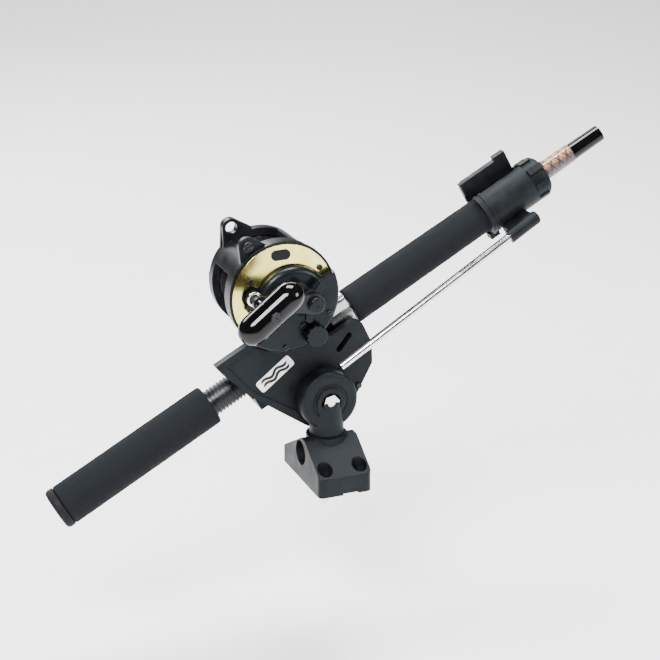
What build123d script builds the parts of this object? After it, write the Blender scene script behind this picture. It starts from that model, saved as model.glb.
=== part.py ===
from build123d import *
import math
import os

os.makedirs("parts", exist_ok=True)

# Trolling reel on a rod handle, locked in a tilting rod holder on a deck mount.
# World frame: +Z up, +X the way the rod points, +Y away from the handle side.
# The origin is the centre of the deck mount's underside.
# Rig frame: x along the rod, y as in the world, z square to the rod, zero on the rod's axis below
# the reel. The tilt pivot lies at x = 0 in it. Reel frame: the same axes, zero on the spool's axis.

# ------------------------------------------------------------------ driving dimensions, mm
FIT = 0.05  # radial clearance of a shaft in its hole
GAP = 0.4  # least gap between faces that move past each other

# deck mount
MOUNT_HALF_X = 20.7
MOUNT_HALF_Y = 38.5
MOUNT_FRONT_HEIGHT = 14.5
MOUNT_BACK_HEIGHT = 12.0
RIDGE_HEIGHT = 34.0
RIDGE_FRONT_Y = -9.0
RIDGE_BACK_Y = -1.0
SOCKET_BOSS_R = 15.4
SOCKET_TOP = 35.0
SOCKET_FLOOR = 6.0
STEM_R = 9.9
SIDE_SOCKET_R = 9.4
SIDE_SOCKET_DEPTH = 9.2
SIDE_SOCKET_Z = 21.5
SCREW_X = 13.5
SCREW_Y = 31.0
SCREW_R = 2.5
SCREW_NECK_R = 2.8  # the unthreaded part inside the mount
SCREW_BELOW = 7.0
SCREW_HEAD_R = 4.8
SCREW_SEAT_Z = 9.0
DRAIN_X = (-2.0, 10.0)
DRAIN_DEPTH = 5.0
DRAIN_HEIGHT = 1.2

# swivel post and tilt joint
PIVOT_Z = 62.0
DISC_R = 22.3
DISC_FRONT_Y = -8.0
DISC_BACK_Y = 7.2
DISC_BOSS_R = 11.0
NECK_R = 12.8
NECK_BACK_Y = 5.8  # cut flat, clear of the holder's raised rim
TILT_BOLT_R = 3.17
HEX_ACROSS_FLATS = 11.1
HEX_HEIGHT = 4.4
TILT_RIBS = 24

# rod line
ROD_ANGLE = 28.9
ROD_Y = 30.0
PIVOT_DROP = 36.0
BLANK_R = 6.9
BLANK_TIP_R = 6.4
BUTT_X = -205.0
REAR_GRIP_FRONT_X = -72.4
REAR_GRIP_R = 15.8
SEAT_R = 10.4
SEAT_FRONT_X = 53.0
THREAD_PITCH = 3.0
SEAT_HOOD_R = 12.8
HOOD_NUT_X = (-41.0, -31.0)
SLIDING_HOOD_X = (-30.6, -12.5)
FIXED_HOOD_X = (35.0, SEAT_FRONT_X)
FOREGRIP_BACK_X = 54.5
FOREGRIP_FRONT_X = 214.0
FOREGRIP_BACK_R = 14.3
FOREGRIP_FRONT_R = 13.2
WRAP_BACK_X = 237.0
WRAP_FRONT_X = 264.0
TIP_X = 292.0
FERRULE_R = 4.5
FERRULE_DEPTH = 28.0

# holder
PLATE_OUT = 22.5  # outer face of each side plate, from the rod's axis
PLATE_IN = 17.0
FAR_EAR_TOP = 12.5
FAR_EAR_BACK = -46.0
LOBE_R = 26.0
CRADLE_R = 43.5  # the side plates' round cut-out under the reel
TROUGH_R = 16.2
STAY_R = 3.18
STAY_Y = -22.0
STAY_BACK = (22.0, -25.7)
STAY_FRONT = (205.0, -16.7)
COLLAR_BACK_X = 180.0
COLLAR_FRONT_X = 222.0
COLLAR_R = 17.0
COLLAR_BORE_R = 14.2
COLLAR_SLOT_Y = (-2.6, 11.6)
LIP_X = (177.0, 221.0)
LIP_TOP = 25.0

# reel
SPOOL_X = 12.0
SPOOL_Z = 52.5
RING_R = 38.0
RING_BORE_R = 32.3
HOUSING_R = 40.5
LEFT_RING = (20.0, 24.0)
LEFT_FACE = 30.0  # outer face of the far cover
RIGHT_RING = (-24.0, -13.0)
RIGHT_RING_R = 39.6
GEAR_MODULE = 0.55
GEAR_TEETH = 42
PINION_TEETH = 12
PRESSURE_ANGLE = 25.0
BACKLASH = 0.17
CRANK_DIRECTION = -30.1  # from the spool's axis to the crank's, degrees above x in the reel frame
SPOOL_Y = (-22.0, 21.8)
SPOOL_RIM = 2.2
ARBOR_R = 12.0
BEARING_R = 6.0
SPOOL_SHAFT_R = 3.0
JOURNAL_R = 2.1  # the shaft's thinner end, which the pinion runs on
LUG_R = 6.8
LUG_Z = 46.0
GUSSET_HALF = 14.0
LUG_THICKNESS = 2.5
NEAR_LUG_LEAN = 4.0  # degrees the near lug stands back from the far one
EYE_R = 4.4
CRANK_SHAFT_R = 4.0
KNOB_AT = (-20.4, 17.2)
KNOB_Y = -74.0
KNOB_R = 10.8
KNOB_LENGTH = 56.0
KNOB_TILT = 9.4

GEARBOX = (3.0, -8.0)  # centre of the raised gearbox, x and z from the spool's axis
GEARBOX_R = 28.4
COVER_WALL = 2.9
DOME_FILLET = 5.5
KNOB_STEM_AT = (3.9, -34.4)
TRIM_FROM, TRIM_TO = -5.0, 183.0  # degrees round the spool's axis
FLANGE_Y = -27.0  # outer face of the cover's thin flange, under the trim
FACE_Y = -35.5  # outer face of the raised gearbox
LEVER_AT = (-20.0, 13.6)
RIGHT_SCREWS = ((0.2, -24.7), (21.8, -28.0), (-19.1, -31.5))
TRIM_SCREWS = ((-15.4, 23.8), (33.2, 2.6))
LEFT_SCREW_R = 35.2
LEFT_SCREW_ANGLES = (35, 145, 215, 325)

CRANK_OFFSET = GEAR_MODULE * (GEAR_TEETH + PINION_TEETH) / 2
CRANK_X = CRANK_OFFSET * math.cos(math.radians(CRANK_DIRECTION))
CRANK_Z = CRANK_OFFSET * math.sin(math.radians(CRANK_DIRECTION))
LEAN = math.radians(ROD_ANGLE)
RIG = Pos(-PIVOT_DROP * math.sin(LEAN), ROD_Y, PIVOT_Z + PIVOT_DROP * math.cos(LEAN)) * Rot(0, -ROD_ANGLE, 0)
REEL = RIG * Pos(SPOOL_X, 0, SPOOL_Z)
PIVOT = (0.0, -PIVOT_DROP)


# ------------------------------------------------------------------ building blocks
ALIGN_BASE = (Align.CENTER, Align.CENTER, Align.MIN)  # round solids start at their base


def block(x0, x1, y0, y1, z0, z1):
    """A box between two corners."""
    return Pos(x0, y0, z0) * Box(x1 - x0, y1 - y0, z1 - z0, align=(Align.MIN, Align.MIN, Align.MIN))


def rod_x(radius, x0, x1, y=0.0, z=0.0):
    """A cylinder along x."""
    return Pos(x0, y, z) * Rot(0, 90, 0) * Cylinder(radius, x1 - x0, align=ALIGN_BASE)


def rod_y(radius, y0, y1, x=0.0, z=0.0):
    """A cylinder along y."""
    return Pos(x, y0, z) * Rot(-90, 0, 0) * Cylinder(radius, y1 - y0, align=ALIGN_BASE)


def rod_z(radius, z0, z1, x=0.0, y=0.0):
    """A cylinder along z."""
    return Pos(x, y, z0) * Cylinder(radius, z1 - z0, align=ALIGN_BASE)


def cone_x(r0, r1, x0, x1):
    """A cone along x, radius r0 at x0 and r1 at x1."""
    return Pos(x0, 0, 0) * Rot(0, 90, 0) * Cone(r0, r1, x1 - x0, align=ALIGN_BASE)


def slab(face, y0, y1):
    """A flat outline drawn in x and z, thickened from y0 to y1."""
    return Pos(0, y1, 0) * extrude(Plane.XZ * face, amount=y1 - y0)


def polar(centre, radius, degrees):
    """A point on a circle."""
    a = math.radians(degrees)
    return (centre[0] + radius * math.cos(a), centre[1] + radius * math.sin(a))


LEFT_SCREWS = tuple(polar((0, 0), LEFT_SCREW_R, a) for a in LEFT_SCREW_ANGLES)


def tangent_angle(centre, radius, point, side):
    """The angle on a circle where the line from a point touches it; side is 1 or -1."""
    dx = point[0] - centre[0]
    dz = point[1] - centre[1]
    return math.degrees(math.atan2(dz, dx)) + side * math.degrees(math.acos(radius / math.hypot(dx, dz)))


def turned_x(outline):
    """A closed outline in x and radius, turned about the x axis."""
    return revolve(Plane.XY * make_face(Polyline(*outline, close=True)), axis=Axis.X)


def sector(r0, r1, a0, a1, y0, y1):
    """A piece of a ring about y, between two radii and two angles."""
    edges = [
        ThreePointArc(polar((0, 0), r1, a0), polar((0, 0), r1, (a0 + a1) / 2), polar((0, 0), r1, a1)),
        Line(polar((0, 0), r1, a1), polar((0, 0), r0, a1)),
        ThreePointArc(polar((0, 0), r0, a1), polar((0, 0), r0, (a0 + a1) / 2), polar((0, 0), r0, a0)),
        Line(polar((0, 0), r0, a0), polar((0, 0), r1, a0)),
    ]
    return slab(make_face(edges), y0, y1)


def scallops(radius, y0, y1, count, cut_r, depth):
    """A round knob about y with rounded flutes in its rim."""
    knob = rod_y(radius, y0, y1)
    for i in range(count):
        x, z = polar((0, 0), radius + cut_r - depth, 360 * i / count)
        knob -= rod_y(cut_r, y0 - 1, y1 + 1, x, z)
    return knob


def pan_screw(head_r, head_h, shank_r, y_head, length, x, z):
    """A slotted screw along y whose head faces -y; y_head is the head's underside."""
    head = rod_y(head_r, y_head - head_h, y_head, x, z)
    head = fillet(head.edges().group_by(Axis.Y)[0], head_h * 0.45)
    head -= block(x - head_r, x + head_r, y_head - head_h - 1, y_head - head_h * 0.5, z - 0.35, z + 0.35)
    return head + rod_y(shank_r, y_head, y_head + length, x, z)


def save(name, shape, place=None):
    """Writes one sub-part in the world frame."""
    placed = shape if place is None else place * shape
    solids = placed.solids() if hasattr(placed, "solids") else [placed]
    export_step(Compound(solids) if len(solids) > 1 else solids[0], f"parts/{name}.step")


# ------------------------------------------------------------------ deck mount and swivel post
def mount_base():
    outline = Polyline(
        (-MOUNT_HALF_Y, 0),
        (-MOUNT_HALF_Y, MOUNT_FRONT_HEIGHT),
        (RIDGE_FRONT_Y, RIDGE_HEIGHT),
        (RIDGE_BACK_Y, RIDGE_HEIGHT),
        (MOUNT_HALF_Y, MOUNT_BACK_HEIGHT),
        (MOUNT_HALF_Y, 0),
        close=True,
    )
    wedge = extrude(Plane.YZ * make_face(outline), amount=MOUNT_HALF_X, both=True)
    wedge = fillet(wedge.edges().filter_by(Axis.Z), 4.0)
    wedge = fillet(wedge.edges().filter_by(Axis.X).group_by(Axis.Z)[-1], 2.5)
    wedge += rod_z(SOCKET_BOSS_R, 8, SOCKET_TOP)
    wedge -= rod_z(STEM_R + FIT, SOCKET_FLOOR, SOCKET_TOP + 1)
    for side in (-1, 1):
        socket = rod_x(SIDE_SOCKET_R, MOUNT_HALF_X - SIDE_SOCKET_DEPTH, MOUNT_HALF_X + 1, 0, SIDE_SOCKET_Z)
        wedge -= socket if side > 0 else Rot(0, 0, 180) * socket
    for x in (-SCREW_X, SCREW_X):
        for y in (-SCREW_Y, SCREW_Y):
            wedge -= rod_z(SCREW_HEAD_R + 0.8, SCREW_SEAT_Z, RIDGE_HEIGHT, x, y)
            wedge -= rod_z(SCREW_NECK_R + 0.1, -1, SCREW_SEAT_Z + 1, x, y)
    return wedge - block(*DRAIN_X, -MOUNT_HALF_Y - 1, -MOUNT_HALF_Y + DRAIN_DEPTH, -1, DRAIN_HEIGHT)


def deck_screws():
    screws = []
    for x in (-SCREW_X, SCREW_X):
        for y in (-SCREW_Y, SCREW_Y):
            head = rod_z(SCREW_HEAD_R, SCREW_SEAT_Z, SCREW_SEAT_Z + 3.2)
            head = fillet(head.edges().group_by(Axis.Z)[-1], 1.8)
            head -= block(-3, 3, -0.6, 0.6, SCREW_SEAT_Z + 1.8, SCREW_SEAT_Z + 4)
            head -= block(-0.6, 0.6, -3, 3, SCREW_SEAT_Z + 1.8, SCREW_SEAT_Z + 4)
            shank = rod_z(SCREW_R, -SCREW_BELOW, 0)
            shank = chamfer(shank.edges().group_by(Axis.Z)[0], 1.2)
            neck = rod_z(SCREW_NECK_R, 0, SCREW_SEAT_Z)
            screws.append(Pos(x, y, 0) * (head + neck + shank))
    return Compound([s.solid() for s in screws])


def swivel_post():
    neck = rod_z(NECK_R, SOCKET_TOP + GAP, PIVOT_Z)
    neck -= block(-30, 30, NECK_BACK_Y, 30, 0, 90)
    disc = rod_y(DISC_R, DISC_FRONT_Y, DISC_BACK_Y - 1.0, 0, PIVOT_Z)
    disc = fillet(disc.edges().group_by(Axis.Y)[0], 3.2)
    boss = rod_y(DISC_BOSS_R, DISC_FRONT_Y - 2.2, DISC_FRONT_Y + 1, 0, PIVOT_Z)
    boss = fillet(boss.edges().group_by(Axis.Y)[0], 1.0)
    post = neck + disc + boss + rod_z(STEM_R, SOCKET_FLOOR + GAP, SOCKET_TOP + GAP)
    for i in range(TILT_RIBS):
        rib = block(9.0, DISC_R - 2.5, DISC_BACK_Y - 1.5, DISC_BACK_Y, -0.7, 0.7)
        post += Pos(0, 0, PIVOT_Z) * Rot(0, 360 * i / TILT_RIBS, 0) * rib
    groove_r = DISC_BOSS_R + 2.2
    groove = rod_y(groove_r + 0.5, DISC_FRONT_Y - 1, DISC_FRONT_Y + 0.5, 0, PIVOT_Z)
    groove -= rod_y(groove_r - 0.5, DISC_FRONT_Y - 2, DISC_FRONT_Y + 1, 0, PIVOT_Z)
    post -= groove
    post -= rod_y(7.6, DISC_FRONT_Y - 3, DISC_FRONT_Y + 1.4, 0, PIVOT_Z)
    return post - rod_y(TILT_BOLT_R + FIT, -20, 20, 0, PIVOT_Z)


def tilt_bolt():
    seat_y = DISC_FRONT_Y + 1.4
    head = RegularPolygon(HEX_ACROSS_FLATS / 2, 6, major_radius=False)
    bolt = Pos(0, seat_y, PIVOT_Z) * extrude(Plane.XZ * Rot(0, 0, 12) * head, amount=HEX_HEIGHT)
    bolt += rod_y(TILT_BOLT_R, seat_y, ROD_Y + PLATE_OUT + 13.0, 0, PIVOT_Z)
    return bolt


def tilt_washer():
    y0 = ROD_Y + PLATE_OUT + GAP
    return rod_y(8.0, y0, y0 + 1.4, 0, PIVOT_Z) - rod_y(TILT_BOLT_R + FIT, y0 - 1, y0 + 3, 0, PIVOT_Z)


def tilt_knob():
    y0 = ROD_Y + PLATE_OUT + GAP + 1.4 + 0.3
    knob = scallops(15.0, 0, 9.0, 6, 7.0, 3.0) + rod_y(7.0, 0, 13.0)
    knob -= rod_y(TILT_BOLT_R + FIT, -1, 12.0)
    return Pos(0, y0, PIVOT_Z) * knob


# ------------------------------------------------------------------ rod holder, in the rig frame
def holder_outline():
    """The side plates' outline: rear ear, reel cradle, front ear and the round lobe at the pivot."""
    reel = (SPOOL_X, SPOOL_Z)
    ear_top = 34.0
    ear_angle = 180 + math.degrees(math.asin((SPOOL_Z - ear_top) / CRADLE_R))
    front_corner = (44.5, -38.0)
    rear_corner = (-45.0, -4.5)
    a_front = tangent_angle(PIVOT, LOBE_R, front_corner, -1)
    a_rear = tangent_angle(PIVOT, LOBE_R, rear_corner, 1) - 360
    return make_face([
        Line((-56.5, ear_top), polar(reel, CRADLE_R, ear_angle)),
        ThreePointArc(
            polar(reel, CRADLE_R, ear_angle),
            polar(reel, CRADLE_R, (ear_angle + 270) / 2),
            polar(reel, CRADLE_R, 270),
        ),
        Line(polar(reel, CRADLE_R, 270), (28, 0.5)),
        Line((28, 0.5), (46, 0.5)),
        ThreePointArc((46, 0.5), (50.9, -1.6), (53, -6.5)),
        Line((53, -6.5), (52, -24)),
        Line((52, -24), front_corner),
        Line(front_corner, polar(PIVOT, LOBE_R, a_front)),
        ThreePointArc(
            polar(PIVOT, LOBE_R, a_front),
            polar(PIVOT, LOBE_R, (a_front + a_rear) / 2),
            polar(PIVOT, LOBE_R, a_rear),
        ),
        Line(polar(PIVOT, LOBE_R, a_rear), rear_corner),
        Line(rear_corner, (-47.5, 1)),
        Line((-47.5, 1), (-55, 26)),
        Line((-55, 26), (-56.5, ear_top)),
    ])


def stay_frame():
    """The stay rod's own frame: x along it from its rear end."""
    dx = STAY_FRONT[0] - STAY_BACK[0]
    dz = STAY_FRONT[1] - STAY_BACK[1]
    return Pos(STAY_BACK[0], STAY_Y, STAY_BACK[1]) * Rot(0, -math.degrees(math.atan2(dz, dx)), 0)


def stay_length():
    return math.hypot(STAY_FRONT[0] - STAY_BACK[0], STAY_FRONT[1] - STAY_BACK[1])


def holder_body():
    outline = holder_outline()
    near = slab(outline, -PLATE_OUT, -PLATE_IN)
    far = slab(outline, PLATE_IN, PLATE_OUT)
    far -= block(-80, 0, 0, 40, FAR_EAR_TOP, 80) + block(-80, FAR_EAR_BACK, 0, 40, -60, 80)
    trough = block(-44, 50, -PLATE_IN, PLATE_IN, -20, -6) - rod_x(TROUGH_R, -60, 60)
    rim_face = outline - make_face(Polyline(
        (-49.5, 29), (80, 29), (80, -90), (2, -90), (-17.5, -43), (-40.5, -4), (-43.5, 1.5), close=True
    ))
    rim = slab(rim_face, -PLATE_OUT - 1.2, -PLATE_OUT + 0.5)
    rim += slab(outline, -PLATE_OUT - 1.2, -PLATE_OUT + 0.5) & rod_y(CRADLE_R + 3.2, -40, 0, SPOOL_X, SPOOL_Z)
    rim -= rod_y(DISC_R + 0.8, -40, 0, *PIVOT)
    body = near + far + trough + rim
    slot = Pos(34, -10) * Rot(0, 0, 22.5) * SlotOverall(17, 4.2)
    body -= slab(slot, -PLATE_OUT - 1, -PLATE_IN + 1)
    body -= rod_y(TILT_BOLT_R + FIT, -40, 40, *PIVOT)
    body -= stay_frame() * rod_x(STAY_R + 0.02, -0.02, 60)
    body -= stay_frame() * block(-0.02, 60, -10, 0, -STAY_R - 0.02, STAY_R + 0.02)
    return body - rod_y(2.22, -PLATE_OUT - 1, -PLATE_IN - 1.5, 27.0, -47.0)


def stop_pin():
    pin = rod_y(2.2, -PLATE_OUT - 2.0, -PLATE_IN - 1.55, 27.0, -47.0)
    return fillet(pin.edges().group_by(Axis.Y)[0], 0.7)


def holder_label():
    face = Pos(-22.1, 1.5) * Rot(0, 0, 9.7) * RectangleRounded(32.0, 9.8, 2.0)
    return slab(face, -PLATE_OUT - 0.5, -PLATE_OUT)


def stay_rod():
    rod = rod_x(STAY_R, 0, stay_length())
    return stay_frame() * chamfer(rod.edges().group_by(Axis.X)[0] + rod.edges().group_by(Axis.X)[-1], 0.6)


def front_collar():
    """The open-topped front rest: a tube with a rod slot along its top, a guide lip and the stay's socket."""
    tube = rod_x(COLLAR_R, COLLAR_BACK_X, COLLAR_FRONT_X)
    for x0 in (COLLAR_BACK_X - 2.2, COLLAR_BACK_X + 2.4):
        tube += rod_x(COLLAR_R + 0.7, x0, x0 + 2.4)
    nose = rod_x(12.1, COLLAR_FRONT_X - 1, COLLAR_FRONT_X + 7)
    tube = tube + nose - rod_x(COLLAR_BORE_R, COLLAR_BACK_X - 5, COLLAR_FRONT_X - 4) - rod_x(9.4, 170, 240)
    tube -= block(170, 240, *COLLAR_SLOT_Y, 0, 40)
    lip_y0, lip_y1 = COLLAR_SLOT_Y[1], COLLAR_SLOT_Y[1] + 2.6
    lip = block(LIP_X[0], LIP_X[1], lip_y0, lip_y1, 9.5, LIP_TOP)
    lip += block(LIP_X[0] + 3, LIP_X[1], lip_y1 - 0.5, lip_y1 + 3, LIP_TOP - 2.2, LIP_TOP)
    lip += block(LIP_X[1] - 10, LIP_X[1], lip_y0, lip_y1 + 3, LIP_TOP - 1, LIP_TOP + 2.8)
    lip += block(LIP_X[0], LIP_X[0] + 2.5, lip_y0 - 2, lip_y1, 15, LIP_TOP + 1)
    socket_from, socket_to = 162.0, 189.5
    socket = rod_x(5.3, socket_from, socket_to)
    socket = stay_frame() * fillet(socket.edges().group_by(Axis.X)[-1], 2.8)
    web = block(186, 208, -20, -10, -17.5, -12)
    web -= rod_x(COLLAR_BORE_R + 1, 170, 230)
    tab = block(176, 184, -5, 2, -20.5, -15.5)
    collar = tube + lip + web + socket + tab
    collar -= stay_frame() * rod_x(STAY_R + 0.02, socket_from - 2, stay_length() + 0.02)
    return collar


def lock_ring():
    """The turning ring that closes the rod slot; its own slot faces down when locked."""
    x0 = COLLAR_FRONT_X + GAP
    ring = rod_x(15.6, x0, x0 + 13.4)
    ring = chamfer(ring.edges().group_by(Axis.X)[-1], 2.0)
    for i in range(8):
        ring += Rot(45 * i, 0, 0) * block(x0, x0 + 9.5, -2.2, 2.2, 13.0, 17.0)
    ring += Rot(45, 0, 0) * block(x0, x0 + 12.5, -2.6, 2.6, 13.0, 18.8)
    ring -= rod_x(12.1 + GAP, x0 - 1, x0 + 8)
    ring -= rod_x(9.0, x0 - 1, x0 + 20)
    return ring - block(x0 - 1, x0 + 20, -8.2, 8.2, -25, 0)


# ------------------------------------------------------------------ rod, in the rig frame
def rear_grip():
    grip = turned_x([
        (BUTT_X + 3.0, BLANK_R + 0.02), (BUTT_X + 3.0, REAR_GRIP_R),
        (REAR_GRIP_FRONT_X - 3.0, REAR_GRIP_R - 0.4), (REAR_GRIP_FRONT_X, REAR_GRIP_R - 2.6),
        (REAR_GRIP_FRONT_X, BLANK_R + 0.02),
    ])
    return grip


def butt_cap():
    cap = rod_x(REAR_GRIP_R, BUTT_X - 3.5, BUTT_X + 2.95)
    cap = fillet(cap.edges().group_by(Axis.X)[0], 3.0)
    return cap


def rod_blank():
    core = rod_x(BLANK_R, BUTT_X + 3.0, WRAP_BACK_X) + cone_x(BLANK_R, BLANK_TIP_R, WRAP_BACK_X, TIP_X)
    return core - rod_x(FERRULE_R, TIP_X - FERRULE_DEPTH, TIP_X + 1)


def reel_seat():
    """The seat tube: screw thread behind the reel, plain under it."""
    crest, root = SEAT_R, SEAT_R - 0.9
    start = REAR_GRIP_FRONT_X + 0.05
    outline = [(start, BLANK_R + 0.02), (start, crest)]
    turns = 16
    for i in range(turns):
        x = start + 1.2 + i * THREAD_PITCH
        outline += [(x, crest), (x + 0.55, root), (x + 1.35, root), (x + 1.9, crest)]
    outline += [(SEAT_FRONT_X, crest), (SEAT_FRONT_X, BLANK_R + 0.02)]
    return turned_x(outline)


def reel_foot():
    """The saddle plate under the reel: a curved underside and ends that taper under the hoods."""
    x0, x1, top = -33.0, 33.0, 14.2 - SPOOL_Z
    face = make_face(Polyline(
        (x0, top - 4.4), (x0 + 3, top - 2.2), (x0 + 20, top),
        (x1 - 20, top), (x1 - 3, top - 2.2), (x1, top - 4.4),
        (x1, top - 9), (x0, top - 9), close=True,
    ))
    foot = slab(face, -8.5, 8.5)
    return foot - rod_x(SEAT_R + 0.03, x0 - 5, x1 + 5, 0, -SPOOL_Z)


def foregrip():
    x0, x1 = FOREGRIP_BACK_X, FOREGRIP_FRONT_X
    r0, r1 = FOREGRIP_BACK_R, FOREGRIP_FRONT_R
    return turned_x([
        (x0, BLANK_R + 0.02), (x0, r0 - 1.6), (x0 + 1.6, r0),
        (x1 - 3, r1), (x1, r1 - 3), (x1, BLANK_R + 0.02),
    ])


def seat_ring():
    """The thin trim ring between the seat's front hood and the foregrip."""
    x0 = SEAT_FRONT_X + 0.05
    return rod_x(12.4, x0, FOREGRIP_BACK_X - 0.05) - rod_x(BLANK_R + 0.02, x0 - 1, x0 + 5)


def winding_check():
    x0 = FOREGRIP_FRONT_X + 0.05
    return turned_x([
        (x0, BLANK_R + 0.02), (x0, 8.8), (x0 + 1.2, 8.8), (x0 + 4.2, 7.6), (x0 + 4.2, BLANK_R + 0.02),
    ])


def thread_wrap():
    wrap = cone_x(7.45, 7.15, WRAP_BACK_X, WRAP_FRONT_X)
    bore = cone_x(BLANK_R + 0.02, BLANK_TIP_R + 0.03, WRAP_BACK_X, TIP_X)
    wrap = chamfer(wrap.edges().group_by(Axis.X)[0] + wrap.edges().group_by(Axis.X)[-1], 0.15)
    return wrap - bore


# ------------------------------------------------------------------ reel frame and covers, in the reel frame
def lug_outline(y0, y1, base_z):
    """A round-topped gusset standing on a ring's rim."""
    side_x, side_z = polar((0, LUG_Z), LUG_R, 22)
    face = make_face(Polyline(
        (-GUSSET_HALF, base_z), (-side_x, side_z), (side_x, side_z), (GUSSET_HALF, base_z), close=True
    ))
    return slab(face, y0, y1) + rod_y(LUG_R, y0, y1, 0, LUG_Z)


def near_lug():
    """Turns a lug about the spool's axis to where the near one stands."""
    return Rot(0, -NEAR_LUG_LEAN, 0)


def reel_frame():
    """Two rings joined by three crossbars, with the foot stand below and a lug block on top."""
    far = rod_y(RING_R, *LEFT_RING) + lug_outline(*LEFT_RING, 33.5)
    near = rod_y(RIGHT_RING_R, *RIGHT_RING)
    near += near_lug() * lug_outline(RIGHT_RING[0], RIGHT_RING[0] + 4, 33.5)
    frame = far - rod_y(RING_BORE_R, LEFT_RING[0] - 1, LEFT_RING[1] + 1)
    frame += near - rod_y(RING_BORE_R, RIGHT_RING[0] - 1, RIGHT_RING[1] + 1)
    for a0, a1 in ((97, 128), (22, 40), (-112, -68)):
        frame += sector(RING_BORE_R + 1.6, RING_R, a0, a1, RIGHT_RING[1] - 1, LEFT_RING[0] + 1)
    frame += block(-12, 22, -8, 8, 14.2 - SPOOL_Z, -RING_BORE_R - 2.5)
    frame -= rod_y(EYE_R, LEFT_RING[0] - 1, LEFT_RING[1] + 1, 0, LUG_Z)
    for x, z in LEFT_SCREWS:
        frame -= rod_y(1.02, LEFT_RING[0] - 1, LEFT_RING[1] + 1, x, z)
    for x, z in TRIM_SCREWS:
        frame -= rod_y(1.02, RIGHT_RING[0] - 1, RIGHT_RING[0] + 2, x, z)
    frame -= near_lug() * rod_y(1.75, RIGHT_RING[0] - 1, RIGHT_RING[1] + 1, 0, LUG_Z)
    return frame - rod_y(1.85, RIGHT_RING[0] - 1, RIGHT_RING[0] + 3, *KNOB_STEM_AT)


def harness_lug():
    """The eyelet on the far side, for a harness snap."""
    lug = lug_outline(LEFT_RING[1], LEFT_RING[1] + LUG_THICKNESS, 36.0)
    return lug - rod_y(EYE_R, 0, 40, 0, LUG_Z) - rod_y(RING_R + 0.3, 0, 40)


def lug_screw():
    return near_lug() * pan_screw(4.0, 1.8, 1.7, RIGHT_RING[0], 6.0, 0, LUG_Z)


def left_side_plate():
    inner = LEFT_RING[1]
    plate = rod_y(RING_R, inner, LEFT_FACE)
    plate = fillet(plate.edges().group_by(Axis.Y)[-1], 2.5)
    plate += rod_y(9.0, LEFT_FACE - 1, LEFT_FACE + 2)
    plate -= rod_y(30.0, inner - 1, inner + 1.5)
    plate += rod_y(8.5, inner + 0.2, inner + 4)
    plate -= rod_y(BEARING_R + 0.02, inner - 1, inner + 3)
    plate -= rod_y(SPOOL_SHAFT_R + 0.3, inner - 1, inner + 4.5)
    for x, z in LEFT_SCREWS:
        plate -= rod_y(1.02, inner - 1, LEFT_FACE + 1, x, z)
        plate -= rod_y(2.4, LEFT_FACE - 0.4, LEFT_FACE + 1, x, z)
    return plate - block(-2.2, 2.2, inner, LEFT_FACE + 1, -22, -13)


def side_screws(head_y, length, direction, spots):
    """Small slotted screws round a side plate."""
    screws = []
    for x, z in spots:
        screw = pan_screw(2.2, 1.2, 1.0, 0, length, 0, 0)
        turn = Rot(0, 0, 180) if direction > 0 else Rot(0, 0, 0)
        screws.append((Pos(x, head_y, z) * turn * screw).solid())
    return Compound(screws)


def right_side_plate():
    """The handle-side cover: a flange all round and a raised gearbox, stepped down under the trim."""
    plate = rod_y(HOUSING_R, FACE_Y, RIGHT_RING[0])
    plate = fillet(plate.edges().group_by(Axis.Y)[0], 2.5)
    plate -= sector(0.5, HOUSING_R + 5, TRIM_FROM, TRIM_TO, FACE_Y - 5, FLANGE_Y)
    dome = rod_y(GEARBOX_R, FACE_Y, FLANGE_Y + 1, *GEARBOX)
    plate += fillet(dome.edges().group_by(Axis.Y)[0], DOME_FILLET)
    cavity = rod_y(GEARBOX_R - COVER_WALL, FACE_Y + 2.2, RIGHT_RING[0] + 1, *GEARBOX)
    plate -= cavity - rod_y(8.0, FACE_Y, FLANGE_Y + 0.6, *LEVER_AT)
    plate += rod_y(8.0, FACE_Y - 4.0, FACE_Y + 3, CRANK_X, CRANK_Z)
    plate += rod_y(5.0, FACE_Y + 1, -31.6, CRANK_X, CRANK_Z)
    plate -= rod_y(JOURNAL_R + FIT, -34.3, -20)
    plate -= rod_y(CRANK_SHAFT_R + FIT, -60, -20, CRANK_X, CRANK_Z)
    plate -= rod_y(1.85, -60, -20, *KNOB_STEM_AT)
    plate -= rod_y(6.6, FACE_Y - 5, FLANGE_Y - 0.6, *LEVER_AT)
    plate -= rod_y(2.05, -60, -20, *LEVER_AT)
    for x, z in RIGHT_SCREWS:
        plate -= rod_y(1.02, -60, -30, x, z)
    for x, z in TRIM_SCREWS:
        plate -= rod_y(1.02, -60, -20, x, z)
    return plate


def bridge_plate():
    """The brass plate that carries the gears' inner bearings."""
    bridge = rod_y(25.3, -26.2, -24.2, *GEARBOX) & rod_y(RING_BORE_R - 2, -30, -20)
    bridge -= rod_y(BEARING_R + 0.02, -30, -20)
    bridge -= rod_y(1.87, -30, -20, *KNOB_STEM_AT)
    bridge -= rod_y(0.82, -30, -20, *dog_pivot())
    return bridge - rod_y(CRANK_SHAFT_R + FIT, -30, -20, CRANK_X, CRANK_Z)


def trim_plate():
    """The polished crescent on the handle side."""
    trim = sector(8, RING_R + 0.6, TRIM_FROM + 0.8, TRIM_TO - 0.8, FLANGE_Y - 0.8, FLANGE_Y)
    trim -= rod_y(GEARBOX_R + 0.3, -40, -20, *GEARBOX)
    trim -= rod_y(7.6, -40, -20, *LEVER_AT)
    for x, z in TRIM_SCREWS:
        trim -= rod_y(1.1, -40, -20, x, z)
    return max(trim.solids(), key=lambda s: s.volume)


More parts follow.
